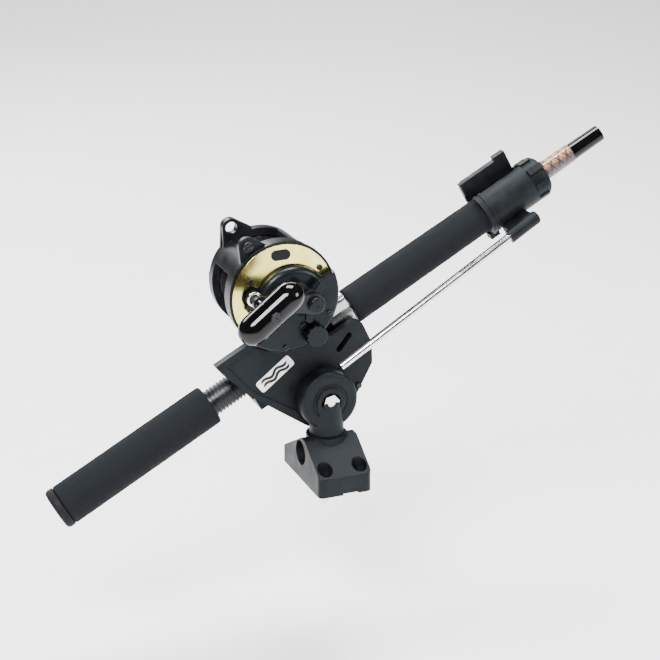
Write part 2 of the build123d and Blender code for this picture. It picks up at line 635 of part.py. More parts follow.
def trim_inset():
    """The dark oblong plate set on the trim."""
    face = Pos(13.4, 28.0) * Rot(0, 0, -27) * SlotOverall(14.5, 7.6)
    return slab(face, FLANGE_Y - 1.5, FLANGE_Y - 0.8)


def takedown_knob():
    """The fluted thumb screw that holds the handle-side cover on the frame."""
    knob = scallops(8.2, -44.0, -37.0, 12, 2.4, 0.7)
    knob = fillet(knob.edges().group_by(Axis.Y)[0], 0.5)
    knob += rod_y(6.0, -37.2, -36.0)
    return Pos(KNOB_STEM_AT[0], 0, KNOB_STEM_AT[1]) * (knob + rod_y(1.8, -37, -21.6))


# ------------------------------------------------------------------ spool
def spool():
    body = rod_y(ARBOR_R, *SPOOL_Y)
    for y0, y1 in ((SPOOL_Y[0], SPOOL_Y[0] + SPOOL_RIM), (SPOOL_Y[1] - SPOOL_RIM, SPOOL_Y[1])):
        body += rod_y(31.5, y0, y1)
    body -= rod_y(SPOOL_SHAFT_R + 0.01, -30, 30)
    for i in range(6):
        x, z = polar((0, 0), 21.0, 60 * i)
        body -= rod_y(4.0, SPOOL_Y[0] - 1, SPOOL_Y[0] + 4, x, z)
    return body


def line_pack():
    pack = rod_y(27.5, SPOOL_Y[0] + SPOOL_RIM + 0.02, SPOOL_Y[1] - SPOOL_RIM - 0.02)
    return pack - rod_y(ARBOR_R + 0.02, -30, 30)


def spool_shaft():
    return rod_y(SPOOL_SHAFT_R, -26.6, LEFT_RING[1] + 3.8) + rod_y(JOURNAL_R, -33.8, -26.6)


def spool_bearings():
    rings = []
    for y0, y1 in ((-26.1, -24.3), (LEFT_RING[1] + 0.3, LEFT_RING[1] + 2.9)):
        ring = rod_y(BEARING_R, y0, y1) - rod_y(SPOOL_SHAFT_R + FIT, y0 - 1, y1 + 1)
        rings.append(ring.solid())
    return Compound(rings)


# ------------------------------------------------------------------ gear train
def gear(teeth, y0, y1, first_tooth):
    """A spur gear about y with involute flanks; first_tooth is one tooth's angle."""
    pitch = GEAR_MODULE * teeth / 2
    base = pitch * math.cos(math.radians(PRESSURE_ANGLE))
    tip = pitch + GEAR_MODULE * 0.9
    root = pitch - GEAR_MODULE * 1.2

    def involute(radius):
        a = math.acos(min(1.0, base / radius))
        return math.tan(a) - a

    half = math.pi / (2 * teeth) - BACKLASH / (2 * pitch)
    start = max(root, base)
    steps = 4
    flank = []
    for i in range(steps + 1):
        radius = start + (tip - start) * i / steps
        flank.append((radius, half + involute(pitch) - involute(radius)))
    if root < start:
        flank.insert(0, (root, flank[0][1]))
    points = []
    for tooth in range(teeth):
        centre = math.radians(first_tooth) + 2 * math.pi * tooth / teeth
        for radius, spread in flank:
            points.append((radius * math.cos(centre - spread), radius * math.sin(centre - spread)))
        for radius, spread in reversed(flank):
            points.append((radius * math.cos(centre + spread), radius * math.sin(centre + spread)))
    return slab(make_face(Polyline(*points, close=True)), y0, y1)


def at_crank(shape):
    return Pos(CRANK_X, 0, CRANK_Z) * shape


def pinion_gear():
    pinion = gear(PINION_TEETH, -30.2, -26.8, CRANK_DIRECTION + 180 / PINION_TEETH)
    pinion += rod_y(2.9, -31.5, -30.2) + rod_y(4.2, -32.0, -31.5)
    return pinion - rod_y(JOURNAL_R + FIT, -40, -20)


def main_gear():
    wheel = gear(GEAR_TEETH, -30.6, -27.2, CRANK_DIRECTION + 180)
    wheel -= rod_y(8.4, -32, -29.0)
    return at_crank(wheel - rod_y(CRANK_SHAFT_R + FIT, -40, -20))


def drag_washers():
    """The drag stack in the gear's cup."""
    washers = []
    for i in range(3):
        y1 = -29.02 - 0.55 * i
        ring = rod_y(8.2, y1 - 0.5, y1) - rod_y(CRANK_SHAFT_R + FIT, -40, -20)
        washers.append(at_crank(ring).solid())
    return Compound(washers)


def ratchet():
    """The twelve-tooth anti-reverse wheel under the bridge side of the gear."""
    points = []
    for i in range(12):
        points.append(polar((0, 0), 8.6, 30 * i))
        points.append(polar((0, 0), 6.6, 30 * i + 4))
    wheel = slab(make_face(Polyline(*points, close=True)), -27.15, -26.4)
    return at_crank(wheel - rod_y(CRANK_SHAFT_R + FIT, -40, -20))


def dog_pivot():
    return (CRANK_X + 11.3, CRANK_Z + 1.5)


def anti_reverse_dog():
    """The pawl beside the ratchet, lifted clear of its teeth."""
    x, z = dog_pivot()
    arm = Pos(x - 1.0, z + 3.2) * Rot(0, 0, 105) * SlotOverall(9.5, 2.6)
    return slab(arm, -27.15, -26.4) - rod_y(0.85, -40, -20, x, z)


def dog_pin():
    x, z = dog_pivot()
    return rod_y(0.8, -27.17, -24.25, x, z)


def drive_shaft():
    return at_crank(rod_y(CRANK_SHAFT_R, -53.6, -24.3) + rod_y(2.6, -56.0, -53.6))


def star_drag():
    """The five-armed drag wheel behind the handle."""
    star = rod_y(8.0, -46.0, -40.0)
    for i in range(5):
        arm = slab(Pos(10.0, 0) * SlotOverall(13.0, 5.4), -44.5, -41.5)
        star += Rot(0, -72 * i - 20, 0) * arm
    return at_crank(star - rod_y(CRANK_SHAFT_R + FIT, -60, -20))


# ------------------------------------------------------------------ handle and lever
def handle_arm():
    arm_y = (-53.4, -50.0)
    dx, dz = KNOB_AT[0] - CRANK_X, KNOB_AT[1] - CRANK_Z
    length, angle = math.hypot(dx, dz), math.degrees(math.atan2(dz, dx))
    arm = rod_y(7.4, *arm_y) + rod_y(5.4, *arm_y, length, 0)
    arm += slab(make_face(Polyline((0, 7.0), (length, 5.2), (length, -5.2), (0, -7.0), close=True)), *arm_y)
    arm = Pos(CRANK_X, 0, CRANK_Z) * Rot(0, -angle, 0) * arm
    arm += at_crank(rod_y(6.0, -50.0, -46.8))
    arm -= at_crank(rod_y(CRANK_SHAFT_R + 0.01, -60, -40))
    return arm - rod_y(2.52, -60, -40, *KNOB_AT)


def handle_nut():
    nut = rod_y(6.0, -57.4, -53.65)
    nut = fillet(nut.edges().group_by(Axis.Y)[0], 1.6)
    nut -= rod_y(0.9, -58, -56.8)
    return at_crank(nut - rod_y(2.62, -56.2, -50))


def at_knob(shape):
    return Pos(KNOB_AT[0], 0, KNOB_AT[1]) * shape


def knob_axle():
    axle = rod_y(2.5, -83.0, -50.2) + rod_y(4.2, -56.0, -53.45) + rod_y(4.1, -85.6, -83.0)
    axle = fillet(axle.edges().group_by(Axis.Y)[0], 0.8)
    return at_knob(axle - rod_y(0.8, -86, -84.9))


def handle_knob():
    """The torpedo grip, turning on its axle."""
    half = KNOB_LENGTH / 2
    nose = 13.0
    profile = [
        Line((-half, 0), (half, 0)),
        Spline((half, 0), (half - nose * 0.25, KNOB_R * 0.68), (half - nose, KNOB_R),
               tangents=((0, 1), (-1, 0))),
        Line((half - nose, KNOB_R), (nose - half, KNOB_R)),
        Spline((nose - half, KNOB_R), (nose * 0.25 - half, KNOB_R * 0.68), (-half, 0),
               tangents=((-1, 0), (0, -1))),
    ]
    grip = revolve(Plane.XY * make_face(profile), axis=Axis.X)
    seam = rod_x(KNOB_R + 1, -0.35, 0.35) - rod_x(KNOB_R - 0.5, -1, 1)
    grip = Pos(0, KNOB_Y, 0) * Rot(0, -KNOB_TILT, 0) * (grip - seam)
    grip += rod_y(5.0, KNOB_Y, -56.4)
    grip -= rod_y(2.5 + FIT, -100, -40)
    return at_knob(grip - rod_y(4.1 + 0.2, -100, -82.9))


def free_spool_lever():
    """The clutch lever on the cover's rear, with a round hub under its ring."""
    lever = rod_y(5.6, -30.6, FLANGE_Y - 0.7)
    arm = slab(Rot(0, 0, -138) * Pos(4.4, 0) * SlotOverall(13.2, 4.4), -32.8, -30.2)
    lever += arm + rod_y(5.6, -32.8, -30.6)
    lever += rod_y(2.0, FLANGE_Y - 0.8, -24.6)
    return Pos(LEVER_AT[0], 0, LEVER_AT[1]) * (lever - rod_y(1.02, -40, -27))


def lever_ring():
    ring = rod_y(5.5, -34.2, -32.85) - rod_y(3.9, -40, -20)
    ring = fillet(ring.edges().group_by(Axis.Y)[0], 0.5)
    return Pos(LEVER_AT[0], 0, LEVER_AT[1]) * ring


def lever_screw():
    return pan_screw(3.7, 1.3, 1.0, -32.85, 5.0, *LEVER_AT)


def pinion_yoke():
    """The fork that carries the pinion out of the spool's drive."""
    yoke = block(-14.0, 1.5, -31.45, -30.75, -4.6, 4.6) - rod_y(3.2, -40, -20)
    yoke -= block(0, 5, -40, -20, -3.2, 3.2)
    return yoke + block(-14.0, -12.0, -31.45, -27.5, -4.6, 4.6)


def clicker_button():
    button = rod_y(3.4, LEFT_FACE + 0.3, LEFT_FACE + 3, 0, -17.5)
    button = fillet(button.edges().group_by(Axis.Y)[-1], 0.9)
    return button + rod_y(1.9, LEFT_FACE - 3, LEFT_FACE + 0.4, 0, -17.5)


# ------------------------------------------------------------------ reel-seat fittings, in the rig frame
def seat_hood(x0, x1, wall_at):
    """A tube round the seat with a hump over one end of the foot; wall_at is its closed end, -1 or 1."""
    hump = block(x0, x1, -11.0, 11.0, 0, 16.4)
    hump = fillet(hump.edges().filter_by(Axis.X).group_by(Axis.Z)[-1], 4.0)
    shell = rod_x(SEAT_HOOD_R, x0, x1) + hump
    cut0, cut1 = (x0 + 3, x1 + 1) if wall_at < 0 else (x0 - 1, x1 - 3)
    shell -= block(cut0, cut1, -8.9, 8.9, 4, 14.6)
    return shell - rod_x(SEAT_R + FIT, x0 - 1, x1 + 1)


def hood_nut():
    x0, x1 = HOOD_NUT_X
    nut = rod_x(13.6, x0, x1) - rod_x(SEAT_R + FIT, x0 - 1, x1 + 1)
    for i in range(16):
        y, z = polar((0, 0), 13.9, 22.5 * i)
        nut -= rod_x(0.9, x0 - 1, x1 + 1, y, z)
    return nut


# ------------------------------------------------------------------ write every sub-part
save("mount_base", mount_base())
save("deck_screws", deck_screws())
save("swivel_post", swivel_post())
save("tilt_bolt", tilt_bolt())
save("tilt_washer", tilt_washer())
save("tilt_knob", tilt_knob())

rig_parts = {
    "holder_body": holder_body(),
    "holder_label": holder_label(),
    "stop_pin": stop_pin(),
    "stay_rod": stay_rod(),
    "front_collar": front_collar(),
    "lock_ring": lock_ring(),
    "rear_grip": rear_grip(),
    "butt_cap": butt_cap(),
    "rod_blank": rod_blank(),
    "reel_seat": reel_seat(),
    "hood_nut": hood_nut(),
    "sliding_hood": seat_hood(*SLIDING_HOOD_X, -1),
    "fixed_hood": seat_hood(*FIXED_HOOD_X, 1),
    "seat_ring": seat_ring(),
    "foregrip": foregrip(),
    "winding_check": winding_check(),
    "thread_wrap": thread_wrap(),
}
for name, shape in rig_parts.items():
    save(name, shape, RIG)

reel_parts = {
    "reel_foot": reel_foot(),
    "reel_frame": reel_frame(),
    "harness_lug": harness_lug(),
    "lug_screw": lug_screw(),
    "left_side_plate": left_side_plate(),
    "left_plate_screws": side_screws(LEFT_FACE - 0.4, 8.4, 1, LEFT_SCREWS),
    "right_side_plate": right_side_plate(),
    "right_plate_screws": side_screws(FACE_Y, 5.0, -1, RIGHT_SCREWS),
    "bridge_plate": bridge_plate(),
    "trim_plate": trim_plate(),
    "trim_inset": trim_inset(),
    "trim_screws": side_screws(FLANGE_Y - 0.8, 5.0, -1, TRIM_SCREWS),
    "takedown_knob": takedown_knob(),
    "spool": spool(),
    "line_pack": line_pack(),
    "spool_shaft": spool_shaft(),
    "spool_bearings": spool_bearings(),
    "pinion_gear": pinion_gear(),
    "pinion_yoke": pinion_yoke(),
    "main_gear": main_gear(),
    "drag_washers": drag_washers(),
    "ratchet": ratchet(),
    "anti_reverse_dog": anti_reverse_dog(),
    "dog_pin": dog_pin(),
    "drive_shaft": drive_shaft(),
    "star_drag": star_drag(),
    "handle_arm": handle_arm(),
    "handle_nut": handle_nut(),
    "handle_knob": handle_knob(),
    "knob_axle": knob_axle(),
    "free_spool_lever": free_spool_lever(),
    "lever_ring": lever_ring(),
    "lever_screw": lever_screw(),
    "clicker_button": clicker_button(),
}
for name, shape in reel_parts.items():
    save(name, shape, REEL)
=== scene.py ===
import math

import bmesh
import bpy
from mathutils import Matrix, Vector


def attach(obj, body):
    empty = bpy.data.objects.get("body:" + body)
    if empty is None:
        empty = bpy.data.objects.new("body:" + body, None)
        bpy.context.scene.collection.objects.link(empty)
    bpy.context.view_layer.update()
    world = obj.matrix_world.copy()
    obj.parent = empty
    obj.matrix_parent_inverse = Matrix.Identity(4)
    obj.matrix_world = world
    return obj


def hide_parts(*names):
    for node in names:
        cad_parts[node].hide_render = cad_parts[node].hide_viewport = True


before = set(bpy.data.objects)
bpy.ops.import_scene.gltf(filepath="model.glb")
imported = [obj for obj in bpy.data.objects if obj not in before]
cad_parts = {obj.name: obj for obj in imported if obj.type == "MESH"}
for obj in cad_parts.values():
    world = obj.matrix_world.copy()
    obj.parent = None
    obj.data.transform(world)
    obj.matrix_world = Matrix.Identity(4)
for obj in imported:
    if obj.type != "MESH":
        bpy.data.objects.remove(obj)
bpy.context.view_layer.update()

# ------------------------------------------------------------------ the rig's own frame, in metres
LEAN = math.radians(28.9)  # the rod above level
ALONG = Vector((math.cos(LEAN), 0, math.sin(LEAN)))
ACROSS = Vector((-math.sin(LEAN), 0, math.cos(LEAN)))
PIVOT_DROP = 0.036  # from the rod's centreline down to the tilt pivot
PIVOT_HEIGHT = 0.062
ROD_Y = 0.030
ROD_ORIGIN = Vector((-PIVOT_DROP * math.sin(LEAN), ROD_Y, PIVOT_HEIGHT + PIVOT_DROP * math.cos(LEAN)))
RIG = Matrix.Translation(ROD_ORIGIN) @ Matrix.Rotation(-LEAN, 4, "Y")
REEL = RIG @ Matrix.Translation((0.012, 0, 0.0525))  # the spool's centre


# ------------------------------------------------------------------ node helpers
class Nodes:
    """A material's node tree, with a short way to add and link nodes. All patterns use object coordinates."""

    def __init__(self, name):
        self.mat = bpy.data.materials.new(name)
        self.mat.use_nodes = True
        self.tree = self.mat.node_tree
        self.shader = self.tree.nodes["Principled BSDF"]
        self.coords = self.tree.nodes.new("ShaderNodeTexCoord").outputs["Object"]

    def put(self, kind, values=None, **props):
        node = self.tree.nodes.new(kind)
        for key, value in props.items():
            setattr(node, key, value)
        for key, value in (values or {}).items():
            self.feed(node.inputs[key], value)
        return node

    def feed(self, socket, value):
        if isinstance(value, bpy.types.NodeSocket):
            self.tree.links.new(value, socket)
        else:
            socket.default_value = value

    def noise(self, scale, detail=3.0, rough=0.55, vector=None):
        node = self.put("ShaderNodeTexNoise", {"Scale": scale, "Detail": detail, "Roughness": rough})
        self.feed(node.inputs["Vector"], vector or self.coords)
        return node.outputs["Fac"]

    def maths(self, op, a, b=0.0):
        return self.put("ShaderNodeMath", {0: a, 1: b}, operation=op).outputs[0]

    def remap(self, value, lo, hi, from_lo=0.3, from_hi=0.7):
        values = {"Value": value, "From Min": from_lo, "From Max": from_hi, "To Min": lo, "To Max": hi}
        return self.put("ShaderNodeMapRange", values).outputs[0]

    def mix(self, factor, a, b):
        node = self.put("ShaderNodeMix", data_type="RGBA")
        self.feed(node.inputs["Factor"], factor)
        self.feed(node.inputs[6], a)
        self.feed(node.inputs[7], b)
        return node.outputs[2]

    def stretch(self, x, y, z, turn=(0, 0, 0)):
        """Coordinates turned and then scaled, for grain that runs one way."""
        turned = self.put("ShaderNodeMapping", {"Vector": self.coords, "Rotation": turn})
        return self.put("ShaderNodeMapping", {"Vector": turned.outputs[0], "Scale": (x, y, z)}).outputs[0]

    def along(self, direction, origin):
        """How far a point lies along a direction from an origin."""
        moved = self.put("ShaderNodeVectorMath", {0: self.coords, 1: origin}, operation="SUBTRACT")
        dot = self.put("ShaderNodeVectorMath", {0: moved.outputs[0], 1: direction}, operation="DOT_PRODUCT")
        return dot.outputs["Value"]

    def bump(self, height, distance, strength=1.0, edge=0.0):
        values = {"Height": height, "Distance": distance, "Strength": strength}
        if edge:
            values["Normal"] = self.put("ShaderNodeBevel", {"Radius": edge}, samples=4).outputs[0]
        self.feed(self.shader.inputs["Normal"], self.put("ShaderNodeBump", values).outputs[0])


def plain(name, dark, light, rough, scale=900.0, metal=0.0, grain=0.00006, edge=0.0004, **sockets):
    """A moulded or cast surface: two close colours, uneven gloss and a fine grain."""
    n = Nodes(name)
    cloud = n.noise(scale * 0.06, 4.0)
    fine = n.noise(scale, 3.0)
    blend = n.maths("ADD", n.maths("MULTIPLY", cloud, 0.55), n.maths("MULTIPLY", fine, 0.45))
    n.feed(n.shader.inputs["Base Color"], n.mix(n.remap(blend, 0, 1, 0.38, 0.62), (*dark, 1), (*light, 1)))
    n.feed(n.shader.inputs["Roughness"], n.remap(cloud, rough[0], rough[1], 0.35, 0.65))
    n.shader.inputs["Metallic"].default_value = metal
    n.bump(fine, grain, 0.6, edge)
    for key, value in sockets.items():
        n.shader.inputs[key.replace("_", " ")].default_value = value
    return n.mat


def brushed(name, dark, light, rough, turn, scale, edge=0.0003):
    """Metal with fine lines along one direction."""
    n = Nodes(name)
    lines = n.noise(1.0, 2.0, 0.5, n.stretch(*scale, turn=turn))
    cloud = n.noise(60.0, 3.0)
    n.feed(n.shader.inputs["Base Color"], n.mix(n.remap(lines, 0, 1), (*dark, 1), (*light, 1)))
    n.feed(n.shader.inputs["Roughness"], n.remap(cloud, rough[0], rough[1]))
    n.shader.inputs["Metallic"].default_value = 1.0
    n.bump(lines, 0.00002, 0.4, edge)
    return n.mat


# ------------------------------------------------------------------ materials
COOL = (0.78, 0.92, 1.0, 1)  # the faint blue in the black parts' highlights
ALONG_ROD = (0, LEAN, 0)

NYLON = plain("nylon", (0.0022, 0.0026, 0.0032), (0.0075, 0.0082, 0.0095), (0.40, 0.52), 1400,
              grain=0.00009, edge=0.0007, Specular_IOR_Level=0.14, Specular_Tint=COOL)
GRAPHITE = plain("graphite", (0.0030, 0.0034, 0.0040), (0.0080, 0.0088, 0.0100), (0.28, 0.40), 1600,
                 edge=0.0006, Specular_IOR_Level=0.18, Specular_Tint=COOL)
GRAPHITE_SATIN = plain("graphite_satin", (0.0022, 0.0027, 0.0033), (0.0056, 0.0064, 0.0074), (0.24, 0.33),
                       1500, edge=0.0006, Specular_IOR_Level=0.16, Specular_Tint=COOL)
RUBBER = plain("butt_rubber", (0.003, 0.003, 0.004), (0.007, 0.007, 0.008), (0.62, 0.78), 1100,
               Specular_IOR_Level=0.15)
GLOSS = plain("gloss_black", (0.0012, 0.0012, 0.0015), (0.0030, 0.0030, 0.0035), (0.04, 0.08), 500,
              grain=0.000004, edge=0.0, Specular_IOR_Level=0.22, Coat_Weight=0.08, Coat_Roughness=0.03)
BLACK_OXIDE = plain("black_oxide", (0.006, 0.007, 0.008), (0.018, 0.020, 0.023), (0.25, 0.40), 1800,
                    metal=0.6)
SEAT = plain("seat_gunmetal", (0.018, 0.019, 0.021), (0.045, 0.046, 0.050), (0.26, 0.40), 1200,
             metal=0.9, edge=0.00025)
BRASS = plain("machined_brass", (0.52, 0.38, 0.15), (0.72, 0.56, 0.26), (0.22, 0.36), 900, metal=1.0)
SPOOL = plain("spool_anodised", (0.045, 0.045, 0.050), (0.090, 0.090, 0.098), (0.20, 0.32), 700, metal=0.9)
FIBRE = plain("drag_fibre", (0.05, 0.04, 0.035), (0.12, 0.10, 0.08), (0.6, 0.8), 2500)
BADGE = plain("badge_white", (0.74, 0.74, 0.73), (0.86, 0.86, 0.85), (0.22, 0.32), 300, grain=0.00001)
BADGE_INK = plain("badge_ink", (0.008, 0.008, 0.008), (0.016, 0.016, 0.016), (0.25, 0.35), 700, grain=0.00001)
STEEL = brushed("stainless", (0.60, 0.60, 0.59), (0.86, 0.86, 0.85), (0.14, 0.26), ALONG_ROD,
                (40, 1800, 1800))
CHROME = brushed("chrome", (0.70, 0.71, 0.72), (0.92, 0.92, 0.93), (0.05, 0.14), ALONG_ROD, (60, 900, 900))
HOOD = brushed("satin_hood", (0.36, 0.37, 0.38), (0.56, 0.57, 0.58), (0.20, 0.30), ALONG_ROD, (60, 900, 900))
GOLD = brushed("gold_trim", (0.80, 0.68, 0.17), (0.92, 0.82, 0.27), (0.16, 0.26), ALONG_ROD, (260, 40, 260))


def foam():
    """Closed-cell foam: a dull near-black with fine pores."""
    n = Nodes("eva_foam")
    voronoi = n.put("ShaderNodeTexVoronoi", {"Scale": 1900.0, "Vector": n.coords}, feature="F1")
    cells = voronoi.outputs["Distance"]
    cloud = n.noise(90.0, 5.0)
    tint = n.mix(n.remap(cloud, 0, 1), (0.0054, 0.0060, 0.0072, 1), (0.0078, 0.0086, 0.0102, 1))
    pores = n.remap(cells, 0.50, 1.0, 0.0, 0.35)
    dark = n.put("ShaderNodeVectorMath", {0: tint, "Scale": pores}, operation="SCALE").outputs[0]
    n.feed(n.shader.inputs["Base Color"], dark)
    n.feed(n.shader.inputs["Roughness"], n.remap(cloud, 0.72, 0.9))
    n.shader.inputs["Specular IOR Level"].default_value = 0.10
    n.shader.inputs["Specular Tint"].default_value = COOL
    height = n.maths("ADD", n.maths("MULTIPLY", cells, 0.6), n.maths("MULTIPLY", n.noise(700.0, 4.0), 0.8))
    n.bump(height, 0.00022, 0.75)
    return n.mat


def wound_line():
    """Line laid side by side on the spool."""
    n = Nodes("wound_line")
    line_width = 0.0007
    y = n.maths("MULTIPLY", n.along((0, 1, 0), (0, 0, 0)), 2 * math.pi / line_width)
    ridge = n.maths("ABSOLUTE", n.maths("SINE", n.maths("MULTIPLY", y, 0.5)))
    cloud = n.noise(220.0, 3.0)
    tint = n.mix(n.remap(cloud, 0, 1), (0.020, 0.011, 0.008, 1), (0.070, 0.034, 0.021, 1))
    n.feed(n.shader.inputs["Base Color"], tint)
    n.feed(n.shader.inputs["Roughness"], n.remap(cloud, 0.22, 0.4))
    n.bump(ridge, 0.0003, 0.9)
    return n.mat


def thread_wrap():
    """Varnished brown thread with dark threads crossing in diamonds, and a painted copper highlight on its
    upper side.
    """
    wrap_start, diamond_length, diamonds_round = 0.237, 0.0072, 3
    line_half_width, strand_width = 0.10, 0.0004
    n = Nodes("thread_with_painted_highlight")
    s = n.along(tuple(ALONG), tuple(ROD_ORIGIN + ALONG * wrap_start))
    up = n.along(tuple(ACROSS), tuple(ROD_ORIGIN))
    side = n.along((0, 1, 0), tuple(ROD_ORIGIN))
    turn = n.maths("MULTIPLY", n.maths("ARCTAN2", side, up), diamonds_round / (2 * math.pi))
    steps = n.maths("MULTIPLY", s, 1 / diamond_length)
    lines = None
    for sign in (1, -1):
        phase = n.maths("FRACT", n.maths("ADD", steps, n.maths("MULTIPLY", turn, sign)))
        near = n.maths("ABSOLUTE", n.maths("SUBTRACT", phase, 0.5))
        mask = n.maths("LESS_THAN", near, line_half_width)
        lines = mask if lines is None else n.maths("MAXIMUM", lines, mask)
    strands = n.maths("SINE", n.maths("MULTIPLY", s, 2 * math.pi / strand_width))
    speck = n.noise(900.0, 2.0)
    # Painted highlight: copper colour laid on the wrap's upper side, where the lamps light it, with a ragged
    # lower edge.
    ragged_highlight_edge = n.maths("ADD", up, n.maths("MULTIPLY", n.noise(420.0, 2.0), 0.004))
    painted_highlight_mask = n.remap(ragged_highlight_edge, 0, 1, 0.0042, 0.0075)
    painted_copper_highlight = n.mix(n.remap(speck, 0, 1), (0.22, 0.060, 0.020, 1), (0.50, 0.18, 0.075, 1))
    brown = n.mix(n.remap(speck, 0, 1), (0.034, 0.025, 0.022, 1), (0.085, 0.060, 0.050, 1))
    thread = n.mix(painted_highlight_mask, brown, painted_copper_highlight)
    n.feed(n.shader.inputs["Base Color"], n.mix(lines, thread, (0.020, 0.014, 0.012, 1)))
    n.feed(n.shader.inputs["Roughness"], n.remap(speck, 0.22, 0.38))
    n.shader.inputs["Coat Weight"].default_value = 0.7
    n.shader.inputs["Coat Roughness"].default_value = 0.08
    n.bump(strands, 0.00006, 0.7)
    return n.mat


FOAM = foam()
LINE = wound_line()
WRAP = thread_wrap()

FINISHES = (
    (NYLON, "mount_base swivel_post holder_body front_collar lock_ring tilt_knob"),
    (STEEL, "deck_screws tilt_bolt tilt_washer stay_rod dog_pin spool_shaft drive_shaft"),
    (STEEL, "spool_bearings ratchet anti_reverse_dog"),
    (BLACK_OXIDE, "stop_pin knob_axle lever_screw handle_arm"),
    (BLACK_OXIDE, "left_plate_screws right_plate_screws trim_screws"),
    (SEAT, "lug_screw reel_seat hood_nut seat_ring winding_check"),
    (BADGE, "holder_label"),
    (RUBBER, "butt_cap"),
    (GLOSS, "rod_blank handle_knob"),
    (GRAPHITE_SATIN, "handle_nut right_side_plate trim_inset takedown_knob star_drag free_spool_lever"),
    (HOOD, "fixed_hood sliding_hood"),
    (CHROME, "lever_ring"),
    (WRAP, "thread_wrap"),
    (GRAPHITE, "reel_foot reel_frame harness_lug left_side_plate clicker_button pinion_yoke"),
    (GOLD, "trim_plate"),
    (SPOOL, "spool"),
    (LINE, "line_pack"),
    (BRASS, "bridge_plate pinion_gear main_gear"),
    (FIBRE, "drag_washers"),
    (FOAM, "rear_grip foregrip"),
)
for finish, names in FINISHES:
    for name in names.split():
        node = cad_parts[name]
        if not node.material_slots:
            node.data.materials.append(finish)
        for slot in node.material_slots:
            slot.material = finish


# ------------------------------------------------------------------ mesh helpers
def add_mesh(name, bm, finish, body, place):
    """A smooth-shaded object made from a bmesh, set at a place and riding on a body."""
    mesh = bpy.data.meshes.new(name)
    bmesh.ops.recalc_face_normals(bm, faces=bm.faces)
    bm.to_mesh(mesh)
    bm.free()
    for face in mesh.polygons:
        face.use_smooth = True
    mesh.materials.append(finish)
    piece = bpy.data.objects.new(name, mesh)
    bpy.context.scene.collection.objects.link(piece)
    piece.matrix_world = place
    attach(piece, body)
    return piece


def turned(profile, around, wobble):
    """A closed outline of (x, radius) turned about x; wobble(x, angle) is added to the radius."""
    bm = bmesh.new()
    rings = []
    for x, r in profile:
        ring = []
        for i in range(around):
            a = 2 * math.pi * i / around
            uneven_r = r + wobble(x, a)
            ring.append(bm.verts.new((x, uneven_r * math.cos(a), uneven_r * math.sin(a))))
        rings.append(ring)
    for k in range(len(rings)):
        one, two = rings[k], rings[(k + 1) % len(rings)]
        for i in range(around):
            j = (i + 1) % around
            bm.faces.new((one[i], two[i], two[j], one[j]))
    return bm


# ------------------------------------------------------------------ foam grips
ROUND_STEPS = 6
GRIP_BORE = 0.00692
GRIP_SIDES = 72


def grip_profile(x0, x1, r0, r1, edge, steps):
    """A foam tube's outline: rounded ends and a straight, slightly tapered side."""
    angles = [math.pi / 2 * k / ROUND_STEPS for k in range(ROUND_STEPS + 1)]
    outline = [(x0, GRIP_BORE)]
    for a in angles:
        outline.append((x0 + edge * (1 - math.cos(a)), r0 - edge * (1 - math.sin(a))))
    for k in range(1, steps):
        t = k / steps
        outline.append((x0 + edge + (x1 - x0 - 2 * edge) * t, r0 + (r1 - r0) * t))
    for a in reversed(angles):
        outline.append((x1 - edge * (1 - math.cos(a)), r1 - edge * (1 - math.sin(a))))
    outline.append((x1, GRIP_BORE))
    return outline


def uneven(x, a):
    """The slight unevenness of ground foam."""
    long_wave = 0.00003 * math.sin(x * 310 + 2 * a)
    short_wave = 0.00003 * math.sin(x * 870 - 3 * a + 1.3)
    return long_wave + short_wave + 0.00002 * math.sin(5 * a)


rear_profile = grip_profile(-0.202, -0.0724, 0.0157, 0.0155, edge=0.0022, steps=60)
rear = add_mesh("rear_grip_foam", turned(rear_profile, GRIP_SIDES, uneven), FOAM, "holder", RIG)
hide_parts("rear_grip")
front_profile = grip_profile(0.0545, 0.214, 0.0142, 0.0131, edge=0.0018, steps=70)
front = add_mesh("foregrip_foam", turned(front_profile, GRIP_SIDES, uneven), FOAM, "holder", RIG)
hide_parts("foregrip")


# ------------------------------------------------------------------ wound line on the spool
LINE_Y = (-0.01975, 0.01955)
LINE_R = 0.0268
LINE_BORE = 0.01203
LINE_PITCH = 0.0009
LINE_CROWN = 0.0005
LINE_RIDGE = 0.00016
LINE_SIDES = 96


def line_profile():
    """The pack's outline along the spool's axis: a low crown with one ridge a turn."""
    y0, y1 = LINE_Y
    outline = [(y0, LINE_BORE)]
    steps = int((y1 - y0) / LINE_PITCH) * 4
    for k in range(steps + 1):
        t = k / steps
        crown = LINE_CROWN * math.sin(math.pi * t)
        groove = LINE_RIDGE * abs(math.cos(math.pi * k / 4))
        outline.append((y0 + (y1 - y0) * t, LINE_R + crown - groove))
    outline.append((y1, LINE_BORE))
    return outline


SPOOL_AXIS = REEL @ Matrix.Rotation(math.radians(90), 4, "Z")
wound = add_mesh("line_wound", turned(line_profile(), LINE_SIDES, uneven), LINE, "spool",
                 SPOOL_AXIS)
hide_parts("line_pack")


